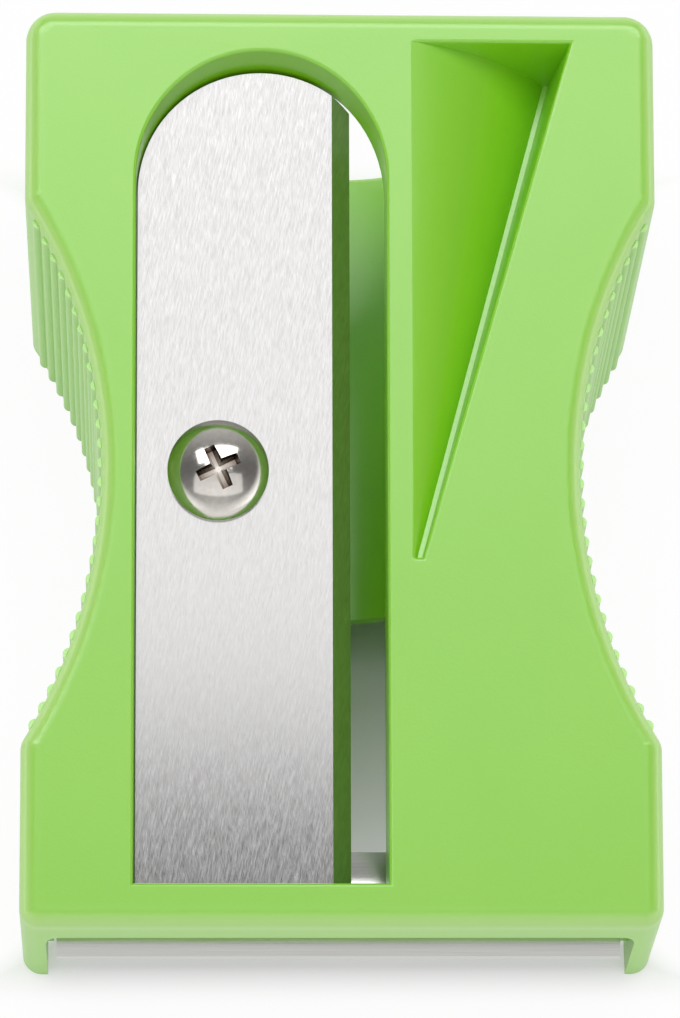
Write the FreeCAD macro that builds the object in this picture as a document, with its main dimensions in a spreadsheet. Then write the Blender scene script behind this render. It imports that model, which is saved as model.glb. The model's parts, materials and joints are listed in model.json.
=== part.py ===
import FreeCAD, Part
import math
import os
import Sketcher
from FreeCAD import Placement, Rotation, Vector

# Hand-held wedge sharpener with a swivelling peeler blade at its thin end.
# X runs across the wedge, Y from the thin end to the thick end, Z out of the inclined front.
# Sizes in the sheet count Y from the thin end; the last placement centres the part on its origin.

doc = FreeCAD.newDocument("wedge_sharpener")
dims = doc.addObject("Spreadsheet::Sheet", "dims")

SIZES = {
    # wedge
    "body_width": 60.0,
    "body_length": 84.5,
    "thick_depth": 37.8,
    "thin_depth": 15.3,
    "thick_corner_radius": 2.8,
    "thin_corner_radius": 1.9,
    "front_edge_radius": 1.7,
    "side_wall": 2.4,
    "end_wall": 3.35,
    "plate_thickness": 6.2,
    "lip_thickness": 4.2,
    "lip_run": 1.5,
    "lip_corner_radius": 1.2,
    # finger scoops and their grip ribs
    "waist_width": 45.2,
    "scoop_middle": 41.5,
    "scoop_radius": 45.3,
    "scoop_corner_radius": 2.0,
    "rib_pitch": 1.786,
    "rib_end_gap": 2.1,
    "rib_radius": 0.6,
    "rib_height": 0.35,
    "rib_drop": 2.2,
    # sharpening blade, its pocket and its window
    "pocket_side_wall": 3.15,
    "pocket_right": 4.3,
    "pocket_foot": 3.75,
    "pocket_head_wall": 4.3,
    "blade_drop": 3.4,
    "blade_thickness": 1.2,
    "blade_clearance": 0.15,
    "blade_edge": 0.95,
    "bevel_width": 1.72,
    "edge_land": 0.12,
    "edge_overhang": 0.6,
    # funnel behind the blade
    "funnel_mouth_floor": 2.25,
    "funnel_tip_floor": 6.0,
    "funnel_tip": 33.4,
    "funnel_wall": 1.4,
    "cut_depth": 0.4,
    "mouth_round": 0.9,
    # triangular recess
    "recess_left": 6.67,
    "recess_right": 21.95,
    "recess_tip": 33.25,
    "recess_tip_width": 0.97,
    "recess_depth": 8.6,
    "recess_tip_depth": 0.7,
    "recess_draft_run": 1.5,
    "recess_ledge": 0.45,
    "recess_floor_wall": 1.8,
    "recess_bulge": 1.6,
    "recess_rim_share": 0.25,
    "opening_round": 0.4,
    # blade screw and its boss
    "screw_across": 11.6,
    "screw_along": 42.65,
    "screw_diameter": 4.0,
    "screw_length": 7.0,
    "screw_point": 1.2,
    "screw_end_gap": 1.0,
    "screw_hole_clearance": 0.3,
    "head_diameter": 9.6,
    "head_height": 3.0,
    "head_rim": 0.7,
    "cross_span": 4.4,
    "cross_slot": 1.2,
    "cross_depth": 1.9,
    "cross_taper": 12.0,
    "cross_turn": 25.0,
    "boss_wall": 2.0,
    "boss_length": 9.0,
    # peeler blade and its pivots
    "pivot_along": 5.3,
    "pivot_height": 3.65,
    "strip_width": 10.4,
    "strip_curve": 14.0,
    "strip_thickness": 0.8,
    "strip_rise": 2.6,
    "strip_slot_length": 42.0,
    "strip_slot_width": 2.2,
    "lug_radius": 2.3,
    "lug_gap": 0.3,
    "pin_diameter": 2.0,
    "pin_grip": 1.8,
    "pin_head_diameter": 2.8,
    "pin_head_height": 0.6,
    "pin_fit": 0.05,
    "pivot_boss_radius": 3.0,
    "pivot_boss_height": 0.6,
    "nub_width": 2.2,
    "nub_thickness": 0.8,
    "nub_reach": 2.6,
    "nub_height": 7.85,
}

for row, (word, size) in enumerate(SIZES.items(), start=1):
    dims.set(f"A{row}", word)
    dims.set(f"B{row}", str(size))
    dims.setAlias(f"B{row}", word)
doc.recompute()

# Formulas that several pieces share
HALF_WIDTH = "dims.body_width / 2"
SLOPE = "(dims.thick_depth - dims.thin_depth) / dims.body_length"
WEDGE = f"atan({SLOPE})"
SCOOP_SAG = "(dims.body_width - dims.waist_width) / 2"
SCOOP_REACH = f"sqrt(2 * dims.scoop_radius * ({SCOOP_SAG}) - ({SCOOP_SAG}) ^ 2)"
SCOOP_CENTRE = "(dims.waist_width / 2 + dims.scoop_radius)"
INNER_HALF = "(dims.body_width / 2 - dims.side_wall)"
INNER_END = "(dims.body_length - dims.end_wall)"
SEAT_DROP = "(dims.blade_drop + dims.blade_thickness)"
POCKET_LEFT = "(dims.waist_width / 2 - dims.pocket_side_wall)"
POCKET_TOP = "(dims.body_length - dims.pocket_head_wall)"
ARCH_RADIUS = f"(({POCKET_LEFT} + dims.pocket_right) / 2)"
ARCH_CENTRE = f"((dims.pocket_right - {POCKET_LEFT}) / 2)"
ARCH_FOOT = f"({POCKET_TOP} - {ARCH_RADIUS})"
CUT_DROP = f"({SEAT_DROP} - dims.cut_depth) / cos({WEDGE})"
MOUTH_RADIUS = f"((dims.thick_depth - {CUT_DROP} - dims.funnel_mouth_floor) / 2)"
MOUTH_HEIGHT = f"(dims.funnel_mouth_floor + {MOUTH_RADIUS})"
TIP_TOP = f"(dims.thin_depth + ({SLOPE}) * dims.funnel_tip - {CUT_DROP})"
TIP_RADIUS = f"(({TIP_TOP} - dims.funnel_tip_floor) / 2)"
TIP_HEIGHT = f"(dims.funnel_tip_floor + {TIP_RADIUS})"
FUNNEL_RUN = "(dims.body_length - dims.funnel_tip)"
FUNNEL_TILT = f"atan(({MOUTH_HEIGHT} - {TIP_HEIGHT}) / {FUNNEL_RUN})"
FUNNEL_GROWTH = f"(({MOUTH_RADIUS} - {TIP_RADIUS}) / {FUNNEL_RUN})"
CUTS = ("Pocket", "Groove", "SubtractiveLoft")
LUG_FACE = f"({INNER_HALF} - dims.pivot_boss_height - dims.lug_gap)"


def value(formula):
    result = dims.evalExpression(formula)
    return float(getattr(result, "Value", result))


def new_body(label):
    body = doc.addObject("PartDesign::Body", label)
    body.Label = label
    return body


def plane_of(body, role):
    return next(f for f in body.Origin.OriginFeatures if f.Role == role)


def bind(thing, formulas):
    for path, formula in formulas.items():
        thing.setExpression(path, formula)


def datum(body, name, height, tilt):
    plane = body.newObject("PartDesign::Plane", name)
    plane.AttachmentSupport = [(plane_of(body, "XY_Plane"), "")]
    plane.MapMode = "FlatFace"
    plane.AttachmentOffset = Placement(Vector(), Rotation(Vector(1, 0, 0), 1))
    bind(plane, {"AttachmentOffset.Base.z": height, "AttachmentOffset.Rotation.Angle": tilt})
    return plane


def front_parallel(body, name, drop):
    return datum(body, name, f"dims.thin_depth - ({drop}) / cos({WEDGE})", WEDGE)


def new_sketch(body, name, support, shift=None):
    sketch = body.newObject("Sketcher::SketchObject", name)
    sketch.AttachmentSupport = [(support, "")]
    sketch.MapMode = "FlatFace"
    if shift:
        bind(sketch, {f"AttachmentOffset.Base.{axis}": formula for axis, formula in shift.items()})
    return sketch


def locate(sketch, geometry, end, across, along):
    for kind, formula in (("DistanceX", across), ("DistanceY", along)):
        spot = sketch.addConstraint(Sketcher.Constraint(kind, -1, 1, geometry, end, value(formula)))
        sketch.setExpression(f"Constraints[{spot}]", formula)


def arc_through(start, finish, radius, left):
    chord = finish - start
    side = Vector(-chord.y, chord.x, 0).normalize()
    reach = math.sqrt(max(radius ** 2 - chord.Length ** 2 / 4, 0))
    centre = (start + finish) * 0.5 + side * (reach if left else -reach)
    first, last = (start, finish) if left else (finish, start)
    angles = [math.atan2(p.y - centre.y, p.x - centre.x) for p in (first, last)]
    return Part.ArcOfCircle(Part.Circle(centre, Vector(0, 0, 1), radius), *angles)


def outline(sketch, corners):
    # Each corner is (across, along), or (across, along, radius, centre on the left) before an arc.
    spots = [Vector(value(c[0]), value(c[1]), 0) for c in corners]
    ends = []
    for index, corner in enumerate(corners):
        start = spots[index]
        finish = spots[(index + 1) % len(spots)]
        if len(corner) == 2:
            line = sketch.addGeometry(Part.LineSegment(start, finish))
            ends.append((line, 1, 2))
        else:
            arc = sketch.addGeometry(arc_through(start, finish, value(corner[2]), corner[3]))
            ends.append((arc, 1, 2) if corner[3] else (arc, 2, 1))
    for index, corner in enumerate(corners):
        piece, first, last = ends[index]
        after, after_first, _ = ends[(index + 1) % len(ends)]
        sketch.addConstraint(Sketcher.Constraint("Coincident", piece, last, after, after_first))
        locate(sketch, piece, first, corner[0], corner[1])
        if len(corner) > 2:
            spot = sketch.addConstraint(Sketcher.Constraint("Radius", piece, value(corner[2])))
            sketch.setExpression(f"Constraints[{spot}]", corner[2])
    return sketch


def circle(sketch, across, along, radius):
    ring = Part.Circle(Vector(value(across), value(along), 0), Vector(0, 0, 1), value(radius))
    index = sketch.addGeometry(ring)
    locate(sketch, index, 3, across, along)
    spot = sketch.addConstraint(Sketcher.Constraint("Radius", index, value(radius)))
    sketch.setExpression(f"Constraints[{spot}]", radius)
    return sketch


def feature(body, kind, name, sketch, **settings):
    before = body.Tip.Shape.Volume if body.Tip else 0.0
    made = body.newObject(f"PartDesign::{kind}", name)
    made.Profile = sketch
    formulas = settings.pop("formulas", {})
    for setting, choice in settings.items():
        setattr(made, setting, choice)
    bind(made, formulas)
    doc.recompute()
    change = made.Shape.Volume - before
    if change * (-1 if kind in CUTS else 1) <= 0:
        raise RuntimeError(f"{name} changed the volume by {change}")
    return made


def round_edges(body, name, radius, wanted):
    base = body.Tip
    names = [f"Edge{i}" for i, edge in enumerate(base.Shape.Edges, start=1) if wanted(edge)]
    made = body.newObject("PartDesign::Fillet", name)
    made.Base = (base, names)
    bind(made, {"Radius": radius})
    doc.recompute()
    return made


def middle(edge):
    return edge.valueAt((edge.FirstParameter + edge.LastParameter) / 2)


def near(first, second):
    return abs(first - second) < 0.01


def is_upright(edge):
    ends = [v.Point for v in edge.Vertexes]
    return len(ends) == 2 and near(ends[0].x, ends[1].x) and near(ends[0].y, ends[1].y)


# Moulded body
body = new_body("body")
ground = plane_of(body, "XY_Plane")
side = plane_of(body, "YZ_Plane")
front = front_parallel(body, "front_plane", "0")
rib_top = front_parallel(body, "rib_top_plane", "dims.rib_drop")
plate_back = front_parallel(body, "plate_back_plane", "dims.plate_thickness")
seat = front_parallel(body, "seat_plane", SEAT_DROP)
funnel_level = datum(
    body, "funnel_plane", f"{MOUTH_HEIGHT} - dims.body_length * tan({FUNNEL_TILT})", FUNNEL_TILT
)
ABOVE = {"z": "dims.thick_depth + dims.end_wall"}


def wedge_outline(half, radius, foot, head, reach):
    low = f"dims.scoop_middle - {reach}"
    high = f"dims.scoop_middle + {reach}"
    return [
        (f"-({half})", foot),
        (half, foot),
        (half, low, radius, False),
        (half, high),
        (half, head),
        (f"-({half})", head),
        (f"-({half})", high, radius, False),
        (f"-({half})", low),
    ]


plan = wedge_outline(HALF_WIDTH, "dims.scoop_radius", "0", "dims.body_length", SCOOP_REACH)
wedge_sketch = outline(new_sketch(body, "wedge_outline", ground), plan)
feature(body, "Pad", "wedge", wedge_sketch, Type="UpToFace", UpToFace=(front, [""]))

half_width = value(HALF_WIDTH)
length = value("dims.body_length")
reach = value(SCOOP_REACH)
scoop_ends = [value("dims.scoop_middle") + sign * reach for sign in (-1, 1)]


def on_side(edge, places):
    spot = middle(edge)
    return is_upright(edge) and near(abs(spot.x), half_width) and any(near(spot.y, y) for y in places)


def on_front(edge):
    rise = value(SLOPE)
    height = value("dims.thin_depth")
    spots = [v.Point for v in edge.Vertexes] + [middle(edge)]
    return all(near(p.z, height + rise * p.y) for p in spots)


round_edges(body, "thick_corner_rounds", "dims.thick_corner_radius", lambda edge: on_side(edge, [length]))
round_edges(body, "thin_corner_rounds", "dims.thin_corner_radius", lambda edge: on_side(edge, [0]))
round_edges(body, "scoop_rounds", "dims.scoop_corner_radius", lambda edge: on_side(edge, scoop_ends))
round_edges(body, "front_rounds", "dims.front_edge_radius", on_front)

# Hollow back, open at the thin end between the two arms
INNER_RADIUS = "(dims.scoop_radius + dims.side_wall)"
INNER_SAG = f"({SCOOP_SAG})"
INNER_REACH = f"sqrt(2 * {INNER_RADIUS} * {INNER_SAG} - {INNER_SAG} ^ 2)"
hollow_plan = wedge_outline(INNER_HALF, INNER_RADIUS, "-dims.end_wall", INNER_END, INNER_REACH)
hollow_sketch = outline(new_sketch(body, "hollow_outline", ground), hollow_plan)
feature(
    body, "Pocket", "hollow", hollow_sketch, Reversed=True, Type="UpToFace", UpToFace=(plate_back, [""])
)


# Funnel: a tapered tube, closed up to the front plate above its middle
def funnel_profile(wall, foot, mouth):
    # The two ends stand square to the tilted axis.
    rise = f"tan({FUNNEL_TILT})"
    corners = []
    for along in (foot, mouth):
        level = f"({TIP_HEIGHT} + ({along} - dims.funnel_tip) * {rise})"
        radius = f"({TIP_RADIUS} + {wall} + ({along} - dims.funnel_tip) * {FUNNEL_GROWTH})"
        lean = f"({radius} * {rise} / (1 + {rise} ^ 2 + {FUNNEL_GROWTH} * {rise}))"
        top = f"{level} + {radius} - {lean} * ({rise} + {FUNNEL_GROWTH})"
        corners.append([(along, level), (f"{along} - {lean}", top)])
    (foot_axis, foot_rim), (mouth_axis, mouth_rim) = corners
    return [foot_axis, mouth_axis, mouth_rim, foot_rim]


def turned(kind, name, corners):
    sketch = new_sketch(body, f"{name}_profile", side, {"z": "dims.blade_edge"})
    outline(sketch, corners)
    return feature(body, kind, name, sketch, ReferenceAxis=(sketch, ["Edge1"]))


TUBE_LEAN = f"({MOUTH_RADIUS} + dims.funnel_wall) * tan({FUNNEL_TILT})"
FUNNEL_HEAD = f"(dims.body_length - dims.end_wall / 8 - {TUBE_LEAN})"
turned("Revolution", "funnel_tube", funnel_profile("dims.funnel_wall", "dims.funnel_tip", FUNNEL_HEAD))

STRETCH = f"cos({FUNNEL_TILT})"
OUTER_TIP = f"({TIP_RADIUS} + dims.funnel_wall)"
OUTER_HEAD = f"({OUTER_TIP} + ({INNER_END} - dims.funnel_tip) * {FUNNEL_GROWTH})"
saddle_sketch = outline(
    new_sketch(body, "funnel_saddle_outline", funnel_level),
    [
        (f"dims.blade_edge - {OUTER_TIP}", f"dims.funnel_tip / {STRETCH}"),
        (f"dims.blade_edge + {OUTER_TIP}", f"dims.funnel_tip / {STRETCH}"),
        (f"dims.blade_edge + {OUTER_HEAD}", f"{INNER_END} / {STRETCH}"),
        (f"dims.blade_edge - {OUTER_HEAD}", f"{INNER_END} / {STRETCH}"),
    ],
)
feature(body, "Pad", "funnel_saddle", saddle_sketch, Type="UpToFace", UpToFace=(seat, [""]))

# Walls under the triangular recess
RECESS_TIP_RIGHT = "(dims.recess_left + dims.recess_tip_width)"
RECESS_TIP_RUN = "(dims.recess_draft_run * dims.recess_tip_depth / dims.recess_depth)"
RECESS_ENDS = (
    ("head", INNER_END, "dims.recess_right", "dims.recess_depth", "dims.recess_draft_run"),
    ("tip", "dims.recess_tip", RECESS_TIP_RIGHT, "dims.recess_tip_depth", RECESS_TIP_RUN),
)
across_plane = plane_of(body, "XZ_Plane")


def face_height(along):
    return f"(dims.thin_depth + ({SLOPE}) * {along})"


wall_sketches = []
for word, along, right, depth, _ in RECESS_ENDS:
    top = f"{face_height(along)} - dims.plate_thickness / 2"
    left_foot = f"{face_height(along)} - dims.plate_thickness"
    deep_foot = f"{face_height(along)} - {depth} - 2 * dims.recess_floor_wall"
    right_foot = left_foot if word == "tip" else deep_foot
    sketch = new_sketch(body, f"recess_wall_{word}", across_plane, {"z": f"-{along}"})
    outline(
        sketch,
        [
            ("dims.recess_left - dims.recess_floor_wall", top),
            ("dims.recess_left - dims.recess_floor_wall", left_foot),
            (f"{right} + dims.recess_floor_wall", right_foot),
            (f"{right} + dims.recess_floor_wall", top),
        ],
    )
    wall_sketches.append(sketch)
feature(body, "AdditiveLoft", "recess_walls", wall_sketches[0], Sections=wall_sketches[1:], Ruled=True)

# Boss for the blade screw, square to the front
ALONG_SEAT = f"dims.screw_along / cos({WEDGE})"
boss_sketch = new_sketch(body, "screw_boss_round", seat)
circle(boss_sketch, "-dims.screw_across", ALONG_SEAT, "dims.screw_diameter / 2 + dims.boss_wall")
feature(body, "Pad", "screw_boss", boss_sketch, Reversed=True, formulas={"Length": "dims.boss_length"})

# Pivot bosses and stop nubs on the inner faces of the arms
MID_WALL = "(dims.body_width / 2 - dims.side_wall / 2)"
for word, sign in (("left", "-"), ("right", "")):
    inward = word == "right"
    boss = new_sketch(body, f"{word}_pivot_boss_round", side, {"z": f"{sign}{MID_WALL}"})
    circle(boss, "dims.pivot_along", "dims.pivot_height", "dims.pivot_boss_radius")
    depth = {"Length": "dims.side_wall / 2 + dims.pivot_boss_height"}
    feature(body, "Pad", f"{word}_pivot_boss", boss, Reversed=inward, formulas=depth)
    for place, near_edge, far_edge in (
        ("near", "-dims.nub_reach", "-(dims.nub_reach + dims.nub_thickness)"),
        ("far", "dims.nub_reach", "(dims.nub_reach + dims.nub_thickness)"),
    ):
        nub = new_sketch(body, f"{word}_{place}_nub_outline", side, {"z": f"{sign}{MID_WALL}"})
        roof = "dims.thin_depth - dims.plate_thickness / 2"
        outline(
            nub,
            [
                (f"dims.pivot_along + {near_edge}", "dims.nub_height"),
                (f"dims.pivot_along + {far_edge}", "dims.nub_height"),
                (f"dims.pivot_along + {far_edge}", roof),
                (f"dims.pivot_along + {near_edge}", roof),
            ],
        )
        depth = {"Length": "dims.side_wall / 2 + dims.nub_width"}
        feature(body, "Pad", f"{word}_{place}_nub", nub, Reversed=inward, formulas=depth)

# Undercut of the lip between the arms
lip_sketch = outline(
    new_sketch(body, "lip_undercut_outline", side),
    [
        ("-dims.end_wall", "0"),
        ("dims.lip_run", "0"),
        ("dims.lip_run", f"{face_height('dims.lip_run')} - dims.plate_thickness / cos({WEDGE})"),
        ("0", "dims.thin_depth - dims.lip_thickness"),
        ("-dims.end_wall", "dims.thin_depth - dims.lip_thickness"),
    ],
)
feature(body, "Pocket", "lip_undercut", lip_sketch, Midplane=True, formulas={"Length": f"2 * {INNER_HALF}"})


def at_lip_corner(edge):
    roof = value("dims.thin_depth - dims.plate_thickness") - 1
    inner = value(INNER_HALF)
    reach = value("dims.lip_run") + 0.01
    spots = [v.Point for v in edge.Vertexes] + [middle(edge)]
    return all(near(abs(p.x), inner) and p.y < reach and p.z > roof for p in spots)


round_edges(body, "lip_corner_rounds", "dims.lip_corner_radius", at_lip_corner)

# Blade pocket with a round top, down to the seat
pocket_plan = [
    (f"-{POCKET_LEFT}", "dims.pocket_foot"),
    ("dims.pocket_right", "dims.pocket_foot"),
    ("dims.pocket_right", ARCH_FOOT, ARCH_RADIUS, True),
    (ARCH_CENTRE, POCKET_TOP, ARCH_RADIUS, True),
    (f"-{POCKET_LEFT}", ARCH_FOOT),
]
pocket_sketch = outline(new_sketch(body, "blade_pocket_outline", ground, ABOVE), pocket_plan)
feature(body, "Pocket", "blade_pocket", pocket_sketch, Type="UpToFace", UpToFace=(seat, [""]))

# Tapered bore and the window that opens it beside the cutting edge
turned(
    "Groove",
    "funnel_bore",
    funnel_profile("0", "(dims.funnel_tip - dims.funnel_wall)", "(dims.body_length + dims.end_wall)"),
)
WINDOW_LEFT = "(dims.blade_edge - dims.edge_overhang)"
WINDOW_HEAD = f"({ARCH_FOOT} + sqrt({ARCH_RADIUS} ^ 2 - ({WINDOW_LEFT} - {ARCH_CENTRE}) ^ 2))"
window_high = outline(
    new_sketch(body, "window_outline", ground, ABOVE),
    [
        (WINDOW_LEFT, "dims.funnel_tip - dims.funnel_wall"),
        ("dims.pocket_right", "dims.funnel_tip - dims.funnel_wall"),
        ("dims.pocket_right", ARCH_FOOT, ARCH_RADIUS, True),
        (WINDOW_LEFT, WINDOW_HEAD),
    ],
)
feature(body, "Pocket", "window", window_high, Type="UpToFace", UpToFace=(funnel_level, [""]))
window_low = outline(
    new_sketch(body, "lower_window_outline", ground, ABOVE),
    [
        (WINDOW_LEFT, "dims.pocket_foot"),
        ("dims.pocket_right", "dims.pocket_foot"),
        ("dims.pocket_right", "dims.funnel_tip"),
        (WINDOW_LEFT, "dims.funnel_tip"),
    ],
)
feature(body, "Pocket", "lower_window", window_low, Type="ThroughAll")

# Triangular recess: drafted right wall, narrow ledge, rounded floor that rises to the left edge
recess_sketches = []
for word, along, right, depth, run in RECESS_ENDS:
    face = face_height(along)
    ledge = f"({right} - {run} - dims.recess_ledge)"
    chord = f"sqrt(({ledge} - dims.recess_left) ^ 2 + {depth} ^ 2)"
    sketch = new_sketch(body, f"recess_{word}", across_plane, {"z": f"-{along}"})
    outline(
        sketch,
        [
            ("dims.recess_left", f"{face} + {depth} * dims.recess_rim_share"),
            ("dims.recess_left", face, f"dims.recess_bulge * {chord}", False),
            (ledge, f"{face} - {depth}"),
            (f"{right} - {run}", f"{face} - {depth}"),
            (f"{right} + {run} * dims.recess_rim_share", f"{face} + {depth} * dims.recess_rim_share"),
        ],
    )
    recess_sketches.append(sketch)
feature(body, "SubtractiveLoft", "recess", recess_sketches[0], Sections=recess_sketches[1:], Ruled=True)

# Holes for the screw and the two pins
screw_hole = new_sketch(body, "screw_hole_round", seat)
circle(screw_hole, "-dims.screw_across", ALONG_SEAT, "dims.screw_diameter / 2")
feature(body, "Pocket", "screw_hole", screw_hole, formulas={"Length": "dims.screw_length"})
for word, sign in (("left", "-"), ("right", "")):
    face = f"{sign}({INNER_HALF} - dims.pivot_boss_height)"
    hole = new_sketch(body, f"{word}_pin_hole_round", side, {"z": face})
    circle(hole, "dims.pivot_along", "dims.pivot_height", "dims.pin_diameter / 2")
    depth = {"Length": "dims.pivot_boss_height + dims.pin_grip"}
    feature(body, "Pocket", f"{word}_pin_hole", hole, Reversed=word == "right", formulas=depth)


def at_mouth(edge):
    centre = Vector(value("dims.blade_edge"), length, value(MOUTH_HEIGHT))
    spots = [v.Point for v in edge.Vertexes] + [middle(edge)]
    inside = value(f"{MOUTH_RADIUS} + dims.funnel_wall / 2")
    return all(near(p.y, length) and p.distanceToPoint(centre) < inside for p in spots)


def at_front_openings(edge):
    spot = middle(edge)
    across = abs(spot.x) < value("dims.waist_width / 2 - dims.front_edge_radius") - 0.05
    along = value("dims.pocket_foot") - 0.1 < spot.y < value(INNER_END) + 0.1
    return on_front(edge) and across and along


round_edges(body, "mouth_rounds", "dims.mouth_round", at_mouth)
round_edges(body, "opening_rounds", "dims.opening_round", at_front_openings)

# Grip ribs across the scoops, from the back to just under the rounded front edge
RIB_CENTRE = "(dims.scoop_radius + dims.rib_radius - dims.rib_height)"
RIB_STEP = "dims.rib_pitch / dims.scoop_radius * 1 rad"
RIB_SPAN = f"2 * (asin({SCOOP_REACH} / dims.scoop_radius) - dims.rib_end_gap / dims.scoop_radius * 1 rad)"
rib_gaps = math.floor(value(f"({RIB_SPAN}) / ({RIB_STEP})"))
for word, centre, sign in (("left", f"-{SCOOP_CENTRE}", ""), ("right", SCOOP_CENTRE, "-")):
    rib_sketch = new_sketch(body, f"{word}_rib_rounds", ground, {"x": centre, "y": "dims.scoop_middle"})
    for count in range(rib_gaps + 1):
        turn = f"(({count} - {rib_gaps} / 2) * {RIB_STEP})"
        across, along = f"{sign}{RIB_CENTRE} * cos({turn})", f"{RIB_CENTRE} * sin({turn})"
        circle(rib_sketch, across, along, "dims.rib_radius")
    feature(body, "Pad", f"{word}_ribs", rib_sketch, Type="UpToFace", UpToFace=(rib_top, [""]))


# Sharpening blade, modelled flat on its seat
blade = new_body("sharpening_blade")
blade_plan = plane_of(blade, "XY_Plane")
BLADE_ARCH = f"({ARCH_RADIUS} - dims.blade_clearance)"
BLADE_TOP = f"(({POCKET_TOP} - dims.blade_clearance) / cos({WEDGE}))"
BLADE_SPRING = f"({BLADE_TOP} - {BLADE_ARCH})"
BLADE_FOOT = (
    f"((dims.pocket_foot + dims.blade_clearance) / cos({WEDGE}) + dims.blade_thickness * tan({WEDGE}))"
)
BLADE_SHOULDER = f"({BLADE_SPRING} + sqrt({BLADE_ARCH} ^ 2 - (dims.blade_edge - {ARCH_CENTRE}) ^ 2))"
blade_sketch = outline(
    new_sketch(blade, "blade_outline", blade_plan),
    [
        (f"dims.blade_clearance - {POCKET_LEFT}", BLADE_FOOT),
        ("dims.blade_edge", BLADE_FOOT),
        ("dims.blade_edge", BLADE_SHOULDER, BLADE_ARCH, True),
        (ARCH_CENTRE, BLADE_TOP, BLADE_ARCH, True),
        (f"dims.blade_clearance - {POCKET_LEFT}", BLADE_SPRING),
    ],
)
feature(blade, "Pad", "blade_blank", blade_sketch, formulas={"Length": "dims.blade_thickness"})
bevel_sketch = outline(
    new_sketch(blade, "bevel_outline", plane_of(blade, "XZ_Plane")),
    [
        ("dims.blade_edge - dims.bevel_width", "dims.blade_thickness"),
        ("dims.blade_edge", "dims.edge_land"),
        ("dims.blade_edge + dims.blade_thickness", "dims.edge_land"),
        ("dims.blade_edge + dims.blade_thickness", "dims.blade_thickness"),
    ],
)
feature(blade, "Pocket", "bevel", bevel_sketch, Type="ThroughAll", Midplane=True)
hole_sketch = new_sketch(blade, "blade_hole_round", blade_plan)
circle(hole_sketch, "-dims.screw_across", ALONG_SEAT, "dims.screw_diameter / 2 + dims.screw_hole_clearance")
feature(blade, "Pocket", "blade_hole", hole_sketch, Type="ThroughAll", Midplane=True)

# Blade screw, modelled upright with its head on the blade
screw = new_body("blade_screw")
HEAD_RADIUS = "(dims.head_diameter / 2)"
DOME = "(dims.head_height - dims.head_rim)"
SHANK = "(dims.screw_length - dims.screw_end_gap + dims.blade_thickness)"
screw_sketch = outline(
    new_sketch(screw, "screw_profile", plane_of(screw, "XZ_Plane")),
    [
        ("0", f"-{SHANK}"),
        ("dims.screw_diameter / 2 - dims.screw_point", f"-{SHANK}"),
        ("dims.screw_diameter / 2", f"dims.screw_point - {SHANK}"),
        ("dims.screw_diameter / 2", "0"),
        (HEAD_RADIUS, "0"),
        (HEAD_RADIUS, "dims.head_rim", f"({HEAD_RADIUS} ^ 2 + {DOME} ^ 2) / (2 * {DOME})", True),
        ("0", "dims.head_height"),
    ],
)
feature(screw, "Revolution", "screw_turned", screw_sketch, ReferenceAxis=(screw_sketch, ["V_Axis"]))
cross_sketch = new_sketch(screw, "cross_outline", plane_of(screw, "XY_Plane"))
cross_sketch.AttachmentOffset = Placement(Vector(), Rotation(Vector(0, 0, 1), 1))
bind(
    cross_sketch,
    {"AttachmentOffset.Base.z": "dims.head_height", "AttachmentOffset.Rotation.Angle": "dims.cross_turn"},
)
arm = "dims.cross_span / 2"
slot = "dims.cross_slot / 2"
cross_corners = [(arm, f"-({slot})"), (arm, slot), (slot, slot)]
cross = []
for turn in range(4):
    for along, across in cross_corners:
        back, down = f"-({along})", f"-({across})"
        quarters = [(along, across), (down, along), (back, down), (across, back)]
        cross.append(quarters[turn])
outline(cross_sketch, cross)
feature(
    screw,
    "Pocket",
    "cross_recess",
    cross_sketch,
    formulas={"Length": "dims.cross_depth", "TaperAngle": "-dims.cross_taper"},
)

# Peeler blade, modelled about its pivot line
peeler = new_body("peeler_blade")
peeler_side = plane_of(peeler, "YZ_Plane")
STRIP_HALF = "(dims.strip_width / 2)"
STRIP_CENTRE = "(dims.strip_rise - dims.strip_curve)"
STRIP_INNER = "(dims.strip_curve - dims.strip_thickness)"
outer_edge = f"{STRIP_CENTRE} + sqrt(dims.strip_curve ^ 2 - {STRIP_HALF} ^ 2)"
inner_edge = f"{STRIP_CENTRE} + sqrt({STRIP_INNER} ^ 2 - {STRIP_HALF} ^ 2)"
strip_sketch = outline(
    new_sketch(peeler, "strip_profile", peeler_side),
    [
        (STRIP_HALF, outer_edge, "dims.strip_curve", True),
        (f"-{STRIP_HALF}", outer_edge),
        (f"-{STRIP_HALF}", inner_edge, STRIP_INNER, False),
        (STRIP_HALF, inner_edge),
    ],
)
feature(peeler, "Pad", "strip", strip_sketch, Midplane=True, formulas={"Length": f"2 * {LUG_FACE}"})
WEB_HEAD = "dims.strip_rise - dims.strip_thickness * 3 / 4"
for word, sign in (("left", "-"), ("right", "")):
    lug = outline(
        new_sketch(peeler, f"{word}_lug_outline", peeler_side, {"z": f"{sign}{LUG_FACE}"}),
        [
            ("dims.lug_radius", WEB_HEAD),
            ("-dims.lug_radius", WEB_HEAD),
            ("-dims.lug_radius", "0", "dims.lug_radius", True),
            ("0", "-dims.lug_radius", "dims.lug_radius", True),
            ("dims.lug_radius", "0"),
        ],
    )
    inward = word == "right"
    depth = {"Length": "dims.strip_thickness"}
    feature(peeler, "Pad", f"{word}_lug", lug, Reversed=inward, formulas=depth)
    eye = new_sketch(peeler, f"{word}_eye_round", peeler_side, {"z": f"{sign}{LUG_FACE}"})
    circle(eye, "0", "0", "dims.pin_diameter / 2 + dims.pin_fit")
    feature(peeler, "Pocket", f"{word}_eye", eye, Reversed=not inward, formulas=depth)
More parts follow.
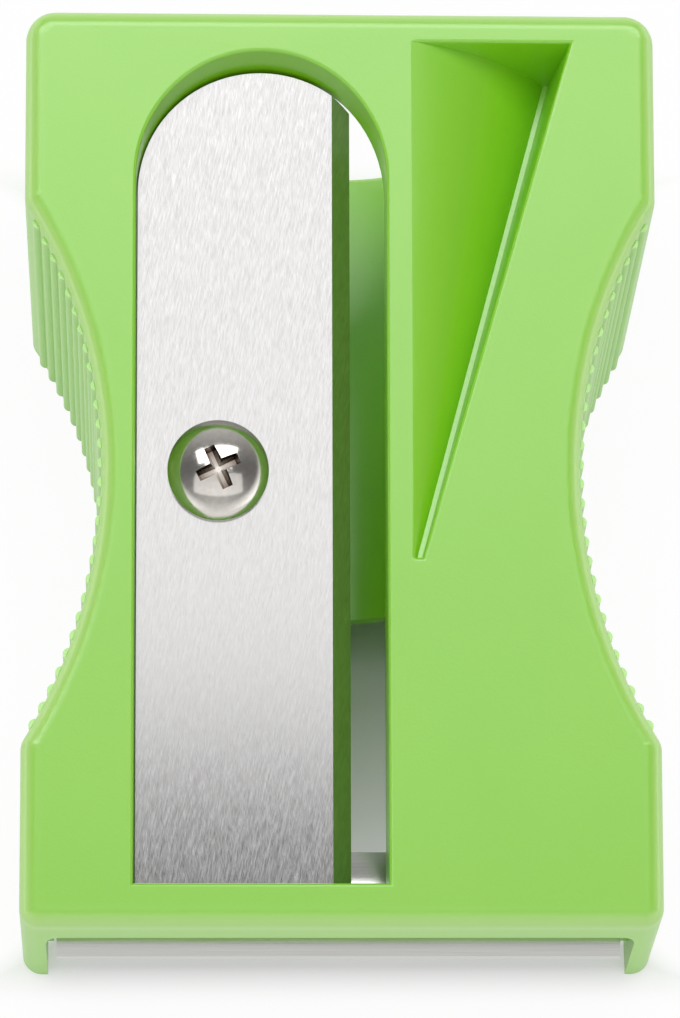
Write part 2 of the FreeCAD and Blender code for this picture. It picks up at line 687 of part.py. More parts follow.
slot_sketch = outline(
    new_sketch(peeler, "strip_slot_outline", plane_of(peeler, "XY_Plane")),
    [
        ("-dims.strip_slot_length / 2", "-dims.strip_slot_width / 2"),
        ("dims.strip_slot_length / 2", "-dims.strip_slot_width / 2"),
        ("dims.strip_slot_length / 2", "dims.strip_slot_width / 2"),
        ("-dims.strip_slot_length / 2", "dims.strip_slot_width / 2"),
    ],
)
feature(peeler, "Pocket", "strip_slot", slot_sketch, Type="ThroughAll", Midplane=True)

# Headed pins, pressed into the arms through the eyes of the peeler blade
HEAD_BACK = f"({LUG_FACE} - dims.strip_thickness - dims.lug_gap)"
pins = []
for word, sign in (("left", "-"), ("right", "")):
    pin = new_body(f"{word}_pivot_pin")
    pin_sketch = outline(
        new_sketch(pin, f"{word}_pin_profile", plane_of(pin, "XY_Plane")),
        [
            (f"{sign}({HEAD_BACK} - dims.pin_head_height)", "0"),
            (f"{sign}({HEAD_BACK} - dims.pin_head_height)", "dims.pin_head_diameter / 2"),
            (f"{sign}{HEAD_BACK}", "dims.pin_head_diameter / 2"),
            (f"{sign}{HEAD_BACK}", "dims.pin_diameter / 2"),
            (f"{sign}({INNER_HALF} + dims.pin_grip)", "dims.pin_diameter / 2"),
            (f"{sign}({INNER_HALF} + dims.pin_grip)", "0"),
        ],
    )
    feature(pin, "Revolution", f"{word}_pin_turned", pin_sketch, ReferenceAxis=(pin_sketch, ["H_Axis"]))
    pins.append(pin)

# Places of the pieces, with the origin under the middle of the part
BACK = "dims.body_length / 2"
SEAT_START = f"dims.thin_depth - {SEAT_DROP} / cos({WEDGE})"
BLADE_LEVEL = f"{SEAT_START} + dims.screw_along * tan({WEDGE}) + dims.blade_thickness * cos({WEDGE})"
SCREW_ALONG = f"dims.screw_along - dims.blade_thickness * sin({WEDGE})"
places = {
    body: ("0", "0", "0", "0"),
    blade: ("0", "0", SEAT_START, WEDGE),
    screw: ("-dims.screw_across", SCREW_ALONG, BLADE_LEVEL, WEDGE),
}
for piece in (peeler, *pins):
    places[piece] = ("0", "dims.pivot_along", "dims.pivot_height", "0")
for piece, (across, along, height, tilt) in places.items():
    piece.Placement = Placement(Vector(), Rotation(Vector(1, 0, 0), 1))
    bind(
        piece,
        {
            "Placement.Base.x": across,
            "Placement.Base.y": f"{along} - {BACK}",
            "Placement.Base.z": height,
            "Placement.Rotation.Angle": tilt,
        },
    )
doc.recompute()

failed = [o.Name for o in doc.Objects if {"Invalid", "Error"} & set(o.State)]
if failed:
    raise RuntimeError(f"failed features: {failed}")
for piece in places:
    if piece.Shape.isNull() or not piece.Shape.isValid() or len(piece.Shape.Solids) != 1:
        raise RuntimeError(f"{piece.Label} is not one valid solid")

os.makedirs("parts", exist_ok=True)
for piece in places:
    piece.Shape.exportStep(f"parts/{piece.Label}.step")
    box = piece.Shape.BoundBox
    print(piece.Label, round(piece.Shape.Volume, 1), box)
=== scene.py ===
import json
import math
import bmesh
import bpy
from mathutils import Matrix, Vector

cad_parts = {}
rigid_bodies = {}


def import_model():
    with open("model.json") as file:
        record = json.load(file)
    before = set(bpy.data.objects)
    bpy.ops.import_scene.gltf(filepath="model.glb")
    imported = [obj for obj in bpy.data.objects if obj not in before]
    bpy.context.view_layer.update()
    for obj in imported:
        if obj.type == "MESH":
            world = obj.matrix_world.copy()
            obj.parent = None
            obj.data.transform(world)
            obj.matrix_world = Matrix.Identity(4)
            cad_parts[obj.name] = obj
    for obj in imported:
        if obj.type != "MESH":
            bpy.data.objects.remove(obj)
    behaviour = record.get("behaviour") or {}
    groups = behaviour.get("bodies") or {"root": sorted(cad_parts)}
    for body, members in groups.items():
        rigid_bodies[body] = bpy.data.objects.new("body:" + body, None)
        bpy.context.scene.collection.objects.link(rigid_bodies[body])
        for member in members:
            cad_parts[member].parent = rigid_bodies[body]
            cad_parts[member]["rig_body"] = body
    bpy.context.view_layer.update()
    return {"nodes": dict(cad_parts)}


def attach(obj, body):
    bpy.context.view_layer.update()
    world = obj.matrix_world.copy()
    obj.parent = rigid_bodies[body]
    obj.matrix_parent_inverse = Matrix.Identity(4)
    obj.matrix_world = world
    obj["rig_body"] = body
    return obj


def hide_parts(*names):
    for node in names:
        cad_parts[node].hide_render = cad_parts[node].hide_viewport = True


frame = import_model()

mm = 0.001  # the frame is in metres
scene = bpy.context.scene
print("frame loaded:", ", ".join(sorted(frame["nodes"])))


def linearColour(hexText):
    parts = [int(hexText[i:i + 2], 16) / 255 for i in (1, 3, 5)]
    linear = [c / 12.92 if c <= 0.04045 else ((c + 0.055) / 1.055) ** 2.4 for c in parts]
    return (*linear, 1.0)


# An input takes a plain value, a socket, or a node, whose first live output is linked
def addNode(tree, kind, inputs=None, **settings):
    node = tree.nodes.new(kind)
    for name, choice in settings.items():
        setattr(node, name, choice)
    for key, given in (inputs or {}).items():
        if isinstance(given, bpy.types.Node):
            given = next(output for output in given.outputs if output.enabled)
        if isinstance(given, bpy.types.NodeSocket):
            tree.links.new(given, node.inputs[key])
        else:
            node.inputs[key].default_value = given
    return node


def newMaterial(name):
    material = bpy.data.materials.new(name)
    material.use_nodes = True
    material.node_tree.nodes.clear()
    return material, material.node_tree


# The wedge's outline, the same sizes as the CAD body
wedge = {
    "width": 60 * mm,
    "length": 84.5 * mm,
    "thinDepth": 15.3 * mm,
    "thickDepth": 37.8 * mm,
    "waistWidth": 45.2 * mm,
    "scoopRadius": 45.3 * mm,
    "scoopMiddle": -0.75 * mm,
}
frontSlope = math.atan((wedge["thickDepth"] - wedge["thinDepth"]) / wedge["length"])
frontMiddle = (wedge["thinDepth"] + wedge["thickDepth"]) / 2  # depth half way along the front
scoopCentre = wedge["waistWidth"] / 2 + wedge["scoopRadius"]  # from the middle of the wedge

# Polypropylene, injection moulded in a finely spark-eroded tool: satin and evenly coloured,
# with a faint grain that breaks the gloss, and a painted sheen that pales the rounded outer edges
plasticLook = {
    "colour": "#7dc90f",
    "colourPale": "#87cd1c",
    "colourEdgeSheen": "#b1dc7b",  # painted sheen on the rounded outer edges
    "edgeSheenShare": 0.74,
    "edgeSheenWidth": 2.3 * mm,  # how far the painted sheen reaches in from the outline
    "edgeSheenDepth": 2.6 * mm,  # and down the walls
    "edgeSheenCore": 1 / 3,  # the part of those two reaches that gets the painted sheen in full
    "edgeSheenFacing": (1.04, 0.86),  # cosine of the turn from the front: none at the first, full at the second
    "wallSheenShare": 0.44,  # what is left of it further down the walls
    "flowSize": 14 * mm,  # soft colour drift from the melt
    "grainSize": 0.28 * mm,  # tool texture, drawn about twice as coarse as real so that it shows
    "grainDepth": 0.012 * mm,
    "grainStrength": 0.6,
    "roughness": 0.31,
    "roughnessDrift": 0.05,
    "ior": 1.64,  # above polypropylene's usual 1.49, matched to the strong sheen of the object
    "specularLevel": 1.0,
}


# How much of the painted sheen colour shows: most on the rounded edges of the front, none further in
def paintedEdgeSheen(tree, coords, look):
    spot = addNode(tree, "ShaderNodeSeparateXYZ", {"Vector": coords["Object"]}).outputs
    across = addNode(tree, "ShaderNodeMath", {0: spot["X"]}, operation="ABSOLUTE")
    along = addNode(tree, "ShaderNodeMath", {0: spot["Y"]}, operation="ABSOLUTE")
    sideGap = addNode(tree, "ShaderNodeMath", {0: wedge["width"] / 2, 1: across}, operation="SUBTRACT")
    endGap = addNode(tree, "ShaderNodeMath", {0: wedge["length"] / 2, 1: along}, operation="SUBTRACT")
    fromCentre = addNode(tree, "ShaderNodeMath", {0: scoopCentre, 1: across}, operation="SUBTRACT")
    fromMiddle = addNode(
        tree,
        "ShaderNodeMath",
        {0: spot["Y"], 1: wedge["scoopMiddle"]},
        operation="SUBTRACT",
    )
    fromScoop = addNode(tree, "ShaderNodeCombineXYZ", {"X": fromCentre, "Y": fromMiddle})
    reach = addNode(tree, "ShaderNodeVectorMath", {0: fromScoop}, operation="LENGTH")
    scoopGap = addNode(tree, "ShaderNodeMath", {0: reach, 1: wedge["scoopRadius"]}, operation="SUBTRACT")
    wallGap = addNode(tree, "ShaderNodeMath", {0: sideGap, 1: endGap}, operation="MINIMUM")
    gap = addNode(tree, "ShaderNodeMath", {0: wallGap, 1: scoopGap}, operation="MINIMUM")
    front = (0, -math.sin(frontSlope), math.cos(frontSlope))
    frontHeight = frontMiddle * math.cos(frontSlope)
    height = addNode(tree, "ShaderNodeVectorMath", {0: coords["Object"], 1: front}, operation="DOT_PRODUCT")
    facing = addNode(tree, "ShaderNodeVectorMath", {0: coords["Normal"], 1: front}, operation="DOT_PRODUCT")
    depth = addNode(tree, "ShaderNodeMath", {0: frontHeight, 1: height}, operation="SUBTRACT")
    edgeSheen = look["edgeSheenShare"]
    for measure, start, full, least in (
        (gap, look["edgeSheenWidth"], look["edgeSheenWidth"] * look["edgeSheenCore"], 0.0),
        (depth, look["edgeSheenDepth"], look["edgeSheenDepth"] * look["edgeSheenCore"], look["wallSheenShare"]),
        (facing, *look["edgeSheenFacing"], 0.0),
    ):
        share = addNode(
            tree,
            "ShaderNodeMapRange",
            {"Value": measure, "From Min": start, "From Max": full, "To Min": least},
            interpolation_type="SMOOTHSTEP",
        )
        edgeSheen = addNode(tree, "ShaderNodeMath", {0: edgeSheen, 1: share}, operation="MULTIPLY")
    return edgeSheen


def mouldedPolypropylene(look):
    material, tree = newMaterial("moulded_polypropylene")
    coords = addNode(tree, "ShaderNodeTexCoord").outputs
    place = coords["Object"]
    flowScale = 1 / look["flowSize"]
    grainScale = 1 / look["grainSize"]
    flow = addNode(tree, "ShaderNodeTexNoise", {"Vector": place, "Scale": flowScale, "Detail": 3.0})
    grain = addNode(tree, "ShaderNodeTexNoise", {"Vector": place, "Scale": grainScale, "Detail": 2.0})
    tint = addNode(
        tree,
        "ShaderNodeMix",
        {"Factor": flow, "A": linearColour(look["colour"]), "B": linearColour(look["colourPale"])},
        data_type="RGBA",
    )
    # painted sheen: the rounded outer edges and walls are mixed towards a pale colour
    sheenedTint = addNode(
        tree,
        "ShaderNodeMix",
        {"Factor": paintedEdgeSheen(tree, coords, look), "A": tint, "B": linearColour(look["colourEdgeSheen"])},
        data_type="RGBA",
    )
    gloss = addNode(
        tree,
        "ShaderNodeMapRange",
        {
            "Value": grain,
            "To Min": look["roughness"] - look["roughnessDrift"],
            "To Max": look["roughness"] + look["roughnessDrift"],
        },
    )
    bump = addNode(
        tree,
        "ShaderNodeBump",
        {"Height": grain, "Strength": look["grainStrength"], "Distance": look["grainDepth"]},
    )
    shader = addNode(
        tree,
        "ShaderNodeBsdfPrincipled",
        {
            "Base Color": sheenedTint,
            "Roughness": gloss,
            "IOR": look["ior"],
            "Specular IOR Level": look["specularLevel"],
            "Normal": bump,
        },
    )
    addNode(tree, "ShaderNodeOutputMaterial", {"Surface": shader})
    return material


# Carbon steel, ground flat on a belt: short crossing scratches that glint, broad white reflections
bladeLook = {
    "colour": "#cac9c9",
    "colourDark": "#b3b2b1",
    "scratchWidth": 0.15 * mm,  # belt grit, drawn about four times as wide as real so that it shows
    "scratchLength": 1.5 * mm,
    "scratchLean": math.radians(13),  # from the blade's long edge
    "crossLean": math.radians(-7),  # finer scratches that cross the others
    "crossFineness": 1.8,
    "crossShare": 0.45,
    "scratchSpan": (0.32, 0.68),  # noise values that give no scratch and a full one
    "scratchDepth": 0.004 * mm,
    "scratchStrength": 0.5,
    "roughness": 0.16,
    "roughnessDrift": 0.045,
}


def groundCarbonSteel(look):
    material, tree = newMaterial("ground_carbon_steel")
    place = addNode(tree, "ShaderNodeTexCoord").outputs["Object"]
    layers = []
    for fineness, lean in ((1.0, look["scratchLean"]), (look["crossFineness"], look["crossLean"])):
        wide = fineness / look["scratchWidth"]
        long = fineness / look["scratchLength"]
        turned = addNode(tree, "ShaderNodeMapping", {"Vector": place, "Rotation": (0, 0, lean)})
        drawn = addNode(tree, "ShaderNodeMapping", {"Vector": turned, "Scale": (wide, long, long)})
        layers.append(addNode(tree, "ShaderNodeTexNoise", {"Vector": drawn, "Scale": 1.0, "Detail": 2.0}))
    scratches = addNode(
        tree,
        "ShaderNodeMix",
        {"Factor": look["crossShare"], "A": layers[0], "B": layers[1]},
        data_type="FLOAT",
    )
    bare, full = look["scratchSpan"]
    streak = addNode(tree, "ShaderNodeMapRange", {"Value": scratches, "From Min": bare, "From Max": full})
    tint = addNode(
        tree,
        "ShaderNodeMix",
        {"Factor": streak, "A": linearColour(look["colourDark"]), "B": linearColour(look["colour"])},
        data_type="RGBA",
    )
    gloss = addNode(
        tree,
        "ShaderNodeMapRange",
        {
            "Value": streak,
            "To Min": look["roughness"] - look["roughnessDrift"],
            "To Max": look["roughness"] + look["roughnessDrift"],
        },
    )
    bump = addNode(
        tree,
        "ShaderNodeBump",
        {"Height": streak, "Strength": look["scratchStrength"], "Distance": look["scratchDepth"]},
    )
    shader = addNode(
        tree,
        "ShaderNodeBsdfPrincipled",
        {"Base Color": tint, "Metallic": 1.0, "Roughness": gloss, "Normal": bump},
    )
    addNode(tree, "ShaderNodeOutputMaterial", {"Surface": shader})
    return material


# Painted shade in a piece's own corners, from ambient occlusion: how open they are where it starts, and
# where it is full
cornerShadeLook = {"open": 0.8, "tight": 0.3}


def polishedSteel(name, look):
    material, tree = newMaterial(name)
    place = addNode(tree, "ShaderNodeTexCoord").outputs["Object"]
    fineness = [1 / size for size in look["markSize"]]
    drawn = addNode(tree, "ShaderNodeMapping", {"Vector": place, "Scale": fineness})
    marks = addNode(tree, "ShaderNodeTexNoise", {"Vector": drawn, "Scale": 1.0, "Detail": 3.0})
    tint = addNode(
        tree,
        "ShaderNodeMix",
        {"Factor": marks, "A": linearColour(look["colourDark"]), "B": linearColour(look["colour"])},
        data_type="RGBA",
    )
    # painted shade: the colour darkens where the piece's own corners and recesses are occluded
    corner = addNode(tree, "ShaderNodeAmbientOcclusion", {"Distance": look["cornerShadeReach"]}, only_local=True)
    cornerShade = addNode(
        tree,
        "ShaderNodeMapRange",
        {"Value": corner.outputs["AO"], "From Min": cornerShadeLook["open"], "From Max": cornerShadeLook["tight"]},
    )
    cornerShaded = addNode(
        tree,
        "ShaderNodeMix",
        {"Factor": cornerShade, "A": tint, "B": linearColour(look["colourCornerShade"])},
        data_type="RGBA",
    )
    gloss = addNode(
        tree,
        "ShaderNodeMapRange",
        {
            "Value": marks,
            "To Min": look["roughness"] - look["roughnessDrift"],
            "To Max": look["roughness"] + look["roughnessDrift"],
        },
    )
    bump = addNode(
        tree,
        "ShaderNodeBump",
        {"Height": marks, "Strength": look["markStrength"], "Distance": look["markDepth"]},
    )
    shader = addNode(
        tree,
        "ShaderNodeBsdfPrincipled",
        {"Base Color": cornerShaded, "Metallic": 1.0, "Roughness": gloss, "Normal": bump},
    )
    addNode(tree, "ShaderNodeOutputMaterial", {"Surface": shader})
    return material


# Bright nickel over a cold-headed steel screw: near-mirror, slightly warm, faint tumbling marks
screwLook = {
    "colour": "#e4e0da",
    "colourDark": "#cfcac2",
    "colourCornerShade": "#6f6259",  # painted shade darkens the recess
    "cornerShadeReach": 0.9 * mm,
    "markSize": (0.5 * mm, 0.5 * mm, 0.5 * mm),
    "markDepth": 0.004 * mm,
    "markStrength": 0.4,
    "roughness": 0.13,
    "roughnessDrift": 0.05,
}

# Stainless strip, stamped and buffed along its length: bright, with long soft streaks
peelerLook = {
    "colour": "#d9d9d6",
    "colourDark": "#c6c6c2",
    "colourCornerShade": "#8d8b86",
    "cornerShadeReach": 0.5 * mm,
    "markSize": (9 * mm, 0.15 * mm, 0.15 * mm),  # drawn wider than real so that they show
    "markDepth": 0.002 * mm,
    "markStrength": 0.4,
    "roughness": 0.15,
    "roughnessDrift": 0.04,
}

# Steel wire, turned and headed into pins: a duller sheen with fine rings
pinLook = {
    "colour": "#cfcfcd",
    "colourDark": "#b3b3b0",
    "colourCornerShade": "#77746f",
    "cornerShadeReach": 0.5 * mm,
    "markSize": (0.12 * mm, 1.5 * mm, 1.5 * mm),
    "markDepth": 0.003 * mm,
    "markStrength": 0.4,
    "roughness": 0.3,
    "roughnessDrift": 0.06,
}

# The CAD meshes are loose triangles: each piece is a welded copy whose rounded stretches shade smoothly
weldLook = {"weldReach": 0.002 * mm, "creaseAngle": math.radians(32)}


def weldedCopy(nodeName, material, look):
    source = frame["nodes"][nodeName]
    shape = bmesh.new()
    shape.from_mesh(source.data)
    bmesh.ops.remove_doubles(shape, verts=shape.verts, dist=look["weldReach"])
    for face in shape.faces:
        face.smooth = True
        face.material_index = 0
    for edge in shape.edges:
        edge.smooth = len(edge.link_faces) == 2 and edge.calc_face_angle() < look["creaseAngle"]
    mesh = bpy.data.meshes.new(f"{nodeName}_skin")
    shape.to_mesh(mesh)
    shape.free()
    piece = bpy.data.objects.new(f"{nodeName}_skin", mesh)
    scene.collection.objects.link(piece)
    even = piece.modifiers.new("even_shading", "WEIGHTED_NORMAL")
    even.keep_sharp = True
    bpy.context.view_layer.update()
    finished = bpy.data.meshes.new_from_object(piece.evaluated_get(bpy.context.evaluated_depsgraph_get()))
    piece.modifiers.remove(even)
    piece.data = finished
    finished.materials.clear()
    finished.materials.append(material)
    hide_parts(nodeName)
    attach(piece, source["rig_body"])
    return piece


pinSteel = polishedSteel("turned_pin_steel", pinLook)
finishes = {
    "body": mouldedPolypropylene(plasticLook),
    "sharpening_blade": groundCarbonSteel(bladeLook),
    "blade_screw": polishedSteel("bright_nickel_plate", screwLook),
    "peeler_blade": polishedSteel("buffed_stainless_strip", peelerLook),
    "left_pivot_pin": pinSteel,
    "right_pivot_pin": pinSteel,
}
for nodeName, material in finishes.items():
    piece = weldedCopy(nodeName, material, weldLook)
    print("dressed", piece.name, len(piece.data.polygons), "faces")

# Grip ribs: half-round bars down the finger scoops, with domed heads just under the rounded front edge
ribLook = {
    "countPerSide": 28,
    "pitch": 1.786 * mm,  # along the scoop
    "radius": 0.62 * mm,  # encloses the moulded core bar
    "coreRadius": 0.6 * mm,
    "coreHeight": 0.35 * mm,  # how far the core bar stands out of the scoop
    "drop": 2.2 * mm,  # below the front face, square to it
    "domeRungs": 6,
    "domeSweep": math.radians(88),  # just short of a quarter round, so that the tip keeps a small face
    "roundSides": 16,
}


def ribTree(look, material):
    tree = bpy.data.node_groups.new("grip_ribs", "GeometryNodeTree")
    sizes = {
        "Count Per Side": look["countPerSide"],
        "Rib Step": look["pitch"] / wedge["scoopRadius"],
        "Rib Radius": look["radius"],
        "Ring Radius": wedge["scoopRadius"] + look["coreRadius"] - look["coreHeight"],
        "Ring Centre": scoopCentre,
        "Scoop Middle": wedge["scoopMiddle"],
        "Front Slope": math.tan(frontSlope),
        "Front Middle": frontMiddle - look["drop"] / math.cos(frontSlope),
        "Rungs": look["domeRungs"] + 2,  # with the foot and the top of the straight bar
    }
    for name, size in sizes.items():
        kind = "NodeSocketInt" if isinstance(size, int) else "NodeSocketFloat"
        tree.interface.new_socket(name, in_out="INPUT", socket_type=kind)
    tree.interface.new_socket("Geometry", in_out="OUTPUT", socket_type="NodeSocketGeometry")
    given = addNode(tree, "NodeGroupInput").outputs
    perSide = given["Count Per Side"]
    rungs = given["Rungs"]
    ringRadius = given["Ring Radius"]

    # every point is one rung of one bar, first all bars of the left side, then of the right
    index = addNode(tree, "GeometryNodeInputIndex")
    rung = addNode(tree, "ShaderNodeMath", {0: index, 1: rungs}, operation="MODULO")
    barRun = addNode(tree, "ShaderNodeMath", {0: index, 1: rungs}, operation="DIVIDE")
    bar = addNode(tree, "ShaderNodeMath", {0: barRun}, operation="FLOOR")
    sideRun = addNode(tree, "ShaderNodeMath", {0: bar, 1: perSide}, operation="DIVIDE")
    side = addNode(tree, "ShaderNodeMath", {0: sideRun}, operation="FLOOR")
    sideSign = addNode(tree, "ShaderNodeMath", {0: side, 1: 2.0, 2: -1.0}, operation="MULTIPLY_ADD")

    # the bars stand in a ring about the scoop's centre line
    place = addNode(tree, "ShaderNodeMath", {0: bar, 1: perSide}, operation="MODULO")
    middle = addNode(tree, "ShaderNodeMath", {0: perSide, 1: 0.5, 2: -0.5}, operation="MULTIPLY_ADD")
    steps = addNode(tree, "ShaderNodeMath", {0: place, 1: middle}, operation="SUBTRACT")
    turn = addNode(tree, "ShaderNodeMath", {0: steps, 1: given["Rib Step"]}, operation="MULTIPLY")
    turnCosine = addNode(tree, "ShaderNodeMath", {0: turn}, operation="COSINE")
    turnSine = addNode(tree, "ShaderNodeMath", {0: turn}, operation="SINE")
    ringRun = addNode(tree, "ShaderNodeMath", {0: ringRadius, 1: turnCosine}, operation="MULTIPLY")
    inward = addNode(tree, "ShaderNodeMath", {0: given["Ring Centre"], 1: ringRun}, operation="SUBTRACT")
    across = addNode(tree, "ShaderNodeMath", {0: sideSign, 1: inward}, operation="MULTIPLY")
    along = addNode(
        tree,
        "ShaderNodeMath",
        {0: ringRadius, 1: turnSine, 2: given["Scoop Middle"]},
        operation="MULTIPLY_ADD",
    )
    top = addNode(
        tree,
        "ShaderNodeMath",
        {0: given["Front Slope"], 1: along, 2: given["Front Middle"]},
        operation="MULTIPLY_ADD",
    )

    # rung 0 is the foot, the others climb a quarter round
    pastFoot = addNode(tree, "ShaderNodeMath", {0: rung, 1: 1.0}, operation="SUBTRACT")
    climb = addNode(tree, "ShaderNodeMath", {0: pastFoot, 1: 0.0}, operation="MAXIMUM")
    lastClimb = addNode(tree, "ShaderNodeMath", {0: rungs, 1: 2.0}, operation="SUBTRACT")
    climbShare = addNode(tree, "ShaderNodeMath", {0: climb, 1: lastClimb}, operation="DIVIDE")
    arc = addNode(tree, "ShaderNodeMath", {0: climbShare, 1: look["domeSweep"]}, operation="MULTIPLY")
    arcCosine = addNode(tree, "ShaderNodeMath", {0: arc}, operation="COSINE")
    arcSine = addNode(tree, "ShaderNodeMath", {0: arc}, operation="SINE")
    head = addNode(
        tree,
        "ShaderNodeMath",
        {0: given["Rib Radius"], 1: arcSine, 2: top},
        operation="MULTIPLY_ADD",
    )
    offFoot = addNode(tree, "ShaderNodeMath", {0: rung, 1: 1.0}, operation="MINIMUM")
    level = addNode(tree, "ShaderNodeMath", {0: head, 1: offFoot}, operation="MULTIPLY")

    spot = addNode(tree, "ShaderNodeCombineXYZ", {"X": across, "Y": along, "Z": level})
    barCount = addNode(tree, "ShaderNodeMath", {0: perSide, 1: 2.0}, operation="MULTIPLY")
    total = addNode(tree, "ShaderNodeMath", {0: barCount, 1: rungs}, operation="MULTIPLY")
    points = addNode(tree, "GeometryNodePoints", {"Count": total, "Position": spot})
    bars = addNode(tree, "GeometryNodePointsToCurves", {"Points": points, "Curve Group ID": bar})
    tapered = addNode(tree, "GeometryNodeSetCurveRadius", {"Curve": bars, "Radius": arcCosine})
    ring = addNode(
        tree,
        "GeometryNodeCurvePrimitiveCircle",
        {"Resolution": look["roundSides"], "Radius": given["Rib Radius"]},
    )
    solid = addNode(
        tree,
        "GeometryNodeCurveToMesh",
        {"Curve": tapered, "Profile Curve": ring, "Fill Caps": True},
    )
    smooth = addNode(tree, "GeometryNodeSetShadeSmooth", {"Geometry": solid, "Shade Smooth": True})
    whole = addNode(tree, "GeometryNodeRealizeInstances", {"Geometry": smooth})
    finish = addNode(tree, "GeometryNodeSetMaterial", {"Geometry": whole, "Material": material})
    addNode(tree, "NodeGroupOutput", {"Geometry": finish})
    return tree, sizes


def gripRibs(look, material):
    tree, sizes = ribTree(look, material)
    piece = bpy.data.objects.new("grip_ribs", bpy.data.meshes.new("grip_ribs"))
    scene.collection.objects.link(piece)
    modifier = piece.modifiers.new("grip_ribs", "NODES")
    modifier.node_group = tree
    for item in tree.interface.items_tree:
        if item.in_out == "INPUT":
            modifier[item.identifier] = sizes[item.name]
    bpy.context.view_layer.update()
    made = bpy.data.meshes.new_from_object(piece.evaluated_get(bpy.context.evaluated_depsgraph_get()))
    piece.modifiers.remove(modifier)
    piece.data = made
    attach(piece, "frame")
    return piece


ribs = gripRibs(ribLook, finishes["body"])
print("grip ribs", len(ribs.data.polygons), "faces")

# White paper sweep: matt, and blown out to white except for the shadow under the object, with painted light
# glowing under the front lip
floorLook = {
    "size": 4.0,
    "colour": "#f7f7f7",
    "white": "#ffffff",
    "glow": 0.93,
    "shade": (13 * mm, 38.5 * mm),  # half sizes of the stretch under the object that keeps its full shadow
    "shadeFlare": 10.5 * mm,  # how much wider it is at the two ends than at the waist
    "flarePower": 4.0,  # how late towards the ends the widening comes
    "shadeEdge": 7 * mm,
    "paintedLeak": (-14 * mm, -40 * mm),  # painted light: the floor glows over this stretch, where light creeps in under the front lip
    "paintedLeakShare": 0.35,
}


def paleFloor(look):
    half = look["size"] / 2
    mesh = bpy.data.meshes.new("floor")
    corners = [(-half, -half, 0), (half, -half, 0), (half, half, 0), (-half, half, 0)]
    mesh.from_pydata(corners, [], [(0, 1, 2, 3)])
    floor = bpy.data.objects.new("floor", mesh)
    scene.collection.objects.link(floor)
    material, tree = newMaterial("white_paper_sweep")
    paper = addNode(tree, "ShaderNodeBsdfDiffuse", {"Color": linearColour(look["colour"])})
    glow = addNode(tree, "ShaderNodeEmission", {"Color": linearColour(look["white"]), "Strength": 1.0})
    halfAcross, halfAlong = look["shade"]
    paintedLeakStart, paintedLeakEnd = look["paintedLeak"]
    place = addNode(tree, "ShaderNodeTexCoord").outputs["Object"]
    spot = addNode(tree, "ShaderNodeSeparateXYZ", {"Vector": place}).outputs
    endRun = addNode(tree, "ShaderNodeMath", {0: spot["Y"], 1: halfAlong}, operation="DIVIDE")
    endShare = addNode(tree, "ShaderNodeMath", {0: endRun, 1: look["flarePower"]}, operation="POWER")
    flared = addNode(
        tree,
        "ShaderNodeMath",
        {0: endShare, 1: look["shadeFlare"], 2: halfAcross},
        operation="MULTIPLY_ADD",
    )
    across = addNode(tree, "ShaderNodeMath", {0: spot["X"]}, operation="ABSOLUTE")
    along = addNode(tree, "ShaderNodeMath", {0: spot["Y"]}, operation="ABSOLUTE")
    pastAcross = addNode(tree, "ShaderNodeMath", {0: across, 1: flared}, operation="SUBTRACT")
    pastAlong = addNode(tree, "ShaderNodeMath", {0: along, 1: halfAlong}, operation="SUBTRACT")
    past = addNode(tree, "ShaderNodeMath", {0: pastAcross, 1: pastAlong}, operation="MAXIMUM")
    clear = addNode(
        tree,
        "ShaderNodeMapRange",
        {"Value": past, "From Max": look["shadeEdge"], "To Max": look["glow"]},
        interpolation_type="SMOOTHSTEP",
    )
    # painted light: a glow on the floor under the front lip
    paintedLeak = addNode(
        tree,
        "ShaderNodeMapRange",
        {"Value": spot["Y"], "From Min": paintedLeakStart, "From Max": paintedLeakEnd, "To Max": look["paintedLeakShare"]},
    )
    white = addNode(tree, "ShaderNodeMath", {0: clear, 1: paintedLeak}, operation="MAXIMUM")
    seen = 0.0
    ray = addNode(tree, "ShaderNodeLightPath").outputs
    for kind in ("Is Camera Ray", "Is Glossy Ray", "Is Transmission Ray"):
        seen = addNode(tree, "ShaderNodeMath", {0: seen, 1: ray[kind]}, operation="MAXIMUM")
    share = addNode(tree, "ShaderNodeMath", {0: seen, 1: white}, operation="MULTIPLY")
    mixed = addNode(tree, "ShaderNodeMixShader", {0: share, 1: paper, 2: glow})
    addNode(tree, "ShaderNodeOutputMaterial", {"Surface": mixed})
    mesh.materials.append(material)


paleFloor(floorLook)

# Three soft boxes, in metres and watts, in a white tent whose roof is dark to the left and right
lampLook = {
    "boxes": {
        "overheadBox": {"at": (-0.03, 0.33, 0.95), "size": (1.35, 0.5), "power": 6.3},
        "nearBox": {"at": (0.0, -0.051, 1.0), "size": (0.9, 0.288), "power": 1.17},
        "frontBox": {"at": (0.0, -0.61, 0.80), "size": (1.9, 0.76), "power": 2.65},
    },
    "aim": (0, 0, 0.02),
    "white": "#ffffff",
    "rim": (2.4, 0.9),  # brightness of the tent low down, to the sides and towards the object's ends
    "roof": (0.17, 0.65),  # and overhead
    "rimReach": 0.3,  # sine of the elevation where the bright rim has turned into the roof
}


def softBoxes(look):
    for name, box in look["boxes"].items():
        lamp = bpy.data.lights.new(name, "AREA")
        lamp.shape = "RECTANGLE"
        lamp.size, lamp.size_y = box["size"]
        lamp.energy = box["power"]
        holder = bpy.data.objects.new(name, lamp)
        scene.collection.objects.link(holder)
        holder.location = box["at"]
        away = Vector(box["at"]) - Vector(look["aim"])
        holder.rotation_euler = away.to_track_quat("Z", "Y").to_euler()


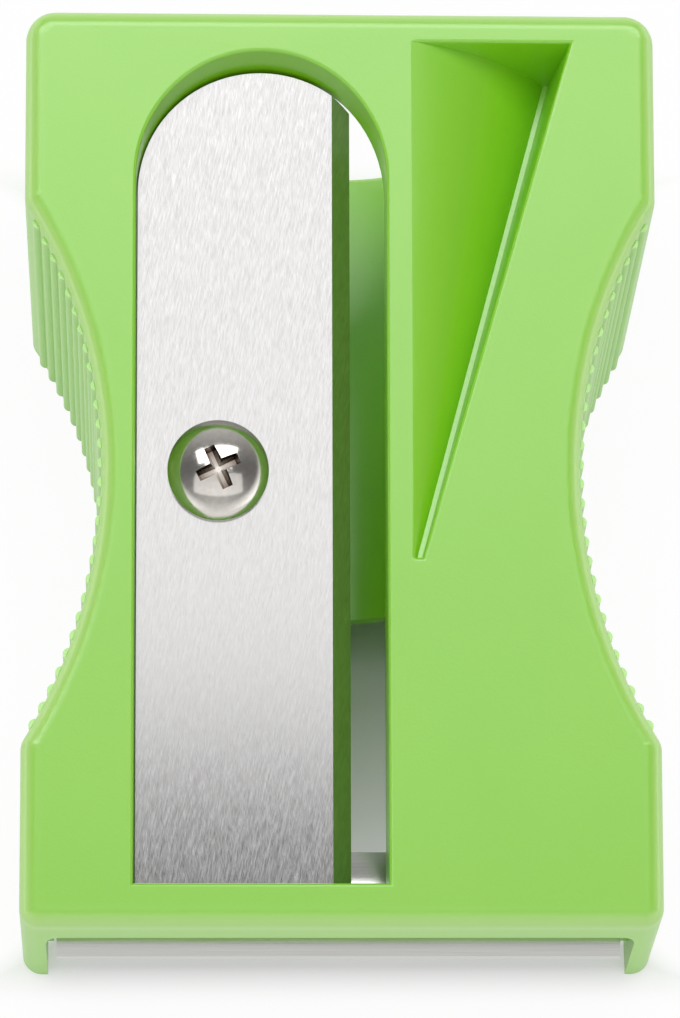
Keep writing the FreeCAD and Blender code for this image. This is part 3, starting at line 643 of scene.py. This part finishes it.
def whiteTent(look):
    world = bpy.data.worlds.new("studio")
    scene.world = world
    world.use_nodes = True
    tree = world.node_tree
    tree.nodes.clear()
    place = addNode(tree, "ShaderNodeTexCoord").outputs["Generated"]
    way = addNode(tree, "ShaderNodeSeparateXYZ", {"Vector": place}).outputs
    endShare = addNode(tree, "ShaderNodeMath", {0: way["Y"], 1: way["Y"]}, operation="MULTIPLY")
    levels = []
    for sideLevel, endLevel in (look["rim"], look["roof"]):
        level = addNode(
            tree,
            "ShaderNodeMath",
            {0: endShare, 1: endLevel - sideLevel, 2: sideLevel},
            operation="MULTIPLY_ADD",
        )
        levels.append(level)
    tent = addNode(
        tree,
        "ShaderNodeMapRange",
        {"Value": way["Z"], "From Max": look["rimReach"], "To Min": levels[0], "To Max": levels[1]},
    )
    sky = addNode(tree, "ShaderNodeBackground", {"Color": linearColour(look["white"]), "Strength": tent})
    addNode(tree, "ShaderNodeOutputWorld", {"Surface": sky})


softBoxes(lampLook)
whiteTent(lampLook)
print("floor and lamps set")

cameraLook = {
    "aim": (0.03 * mm, -2.42 * mm, 20.0 * mm),
    "distance": 428 * mm,
    "azimuth": math.radians(-5.67),
    "elevation": math.radians(66.3),
    "roll": math.radians(5.40),
    "lens": 159.1,  # lens and sensor in millimetres, the sensor along the photo's long side
    "sensor": 36.0,
    "clipStart": 10 * mm,
}


def photoCamera(look):
    flat = math.cos(look["elevation"])
    away = Vector(
        (flat * math.sin(look["azimuth"]), -flat * math.cos(look["azimuth"]), math.sin(look["elevation"]))
    )
    camera = bpy.data.cameras.new("photo_camera")
    camera.lens = look["lens"]
    camera.sensor_width = look["sensor"]
    camera.clip_start = look["clipStart"]
    holder = bpy.data.objects.new("photo_camera", camera)
    scene.collection.objects.link(holder)
    stand = Matrix.Translation(Vector(look["aim"]) + away * look["distance"])
    level = away.to_track_quat("Z", "Y").to_matrix().to_4x4()
    holder.matrix_world = stand @ level @ Matrix.Rotation(look["roll"], 4, "Z")
    scene.camera = holder


photoCamera(cameraLook)
scene.view_settings.view_transform = "Standard"
print("camera set")
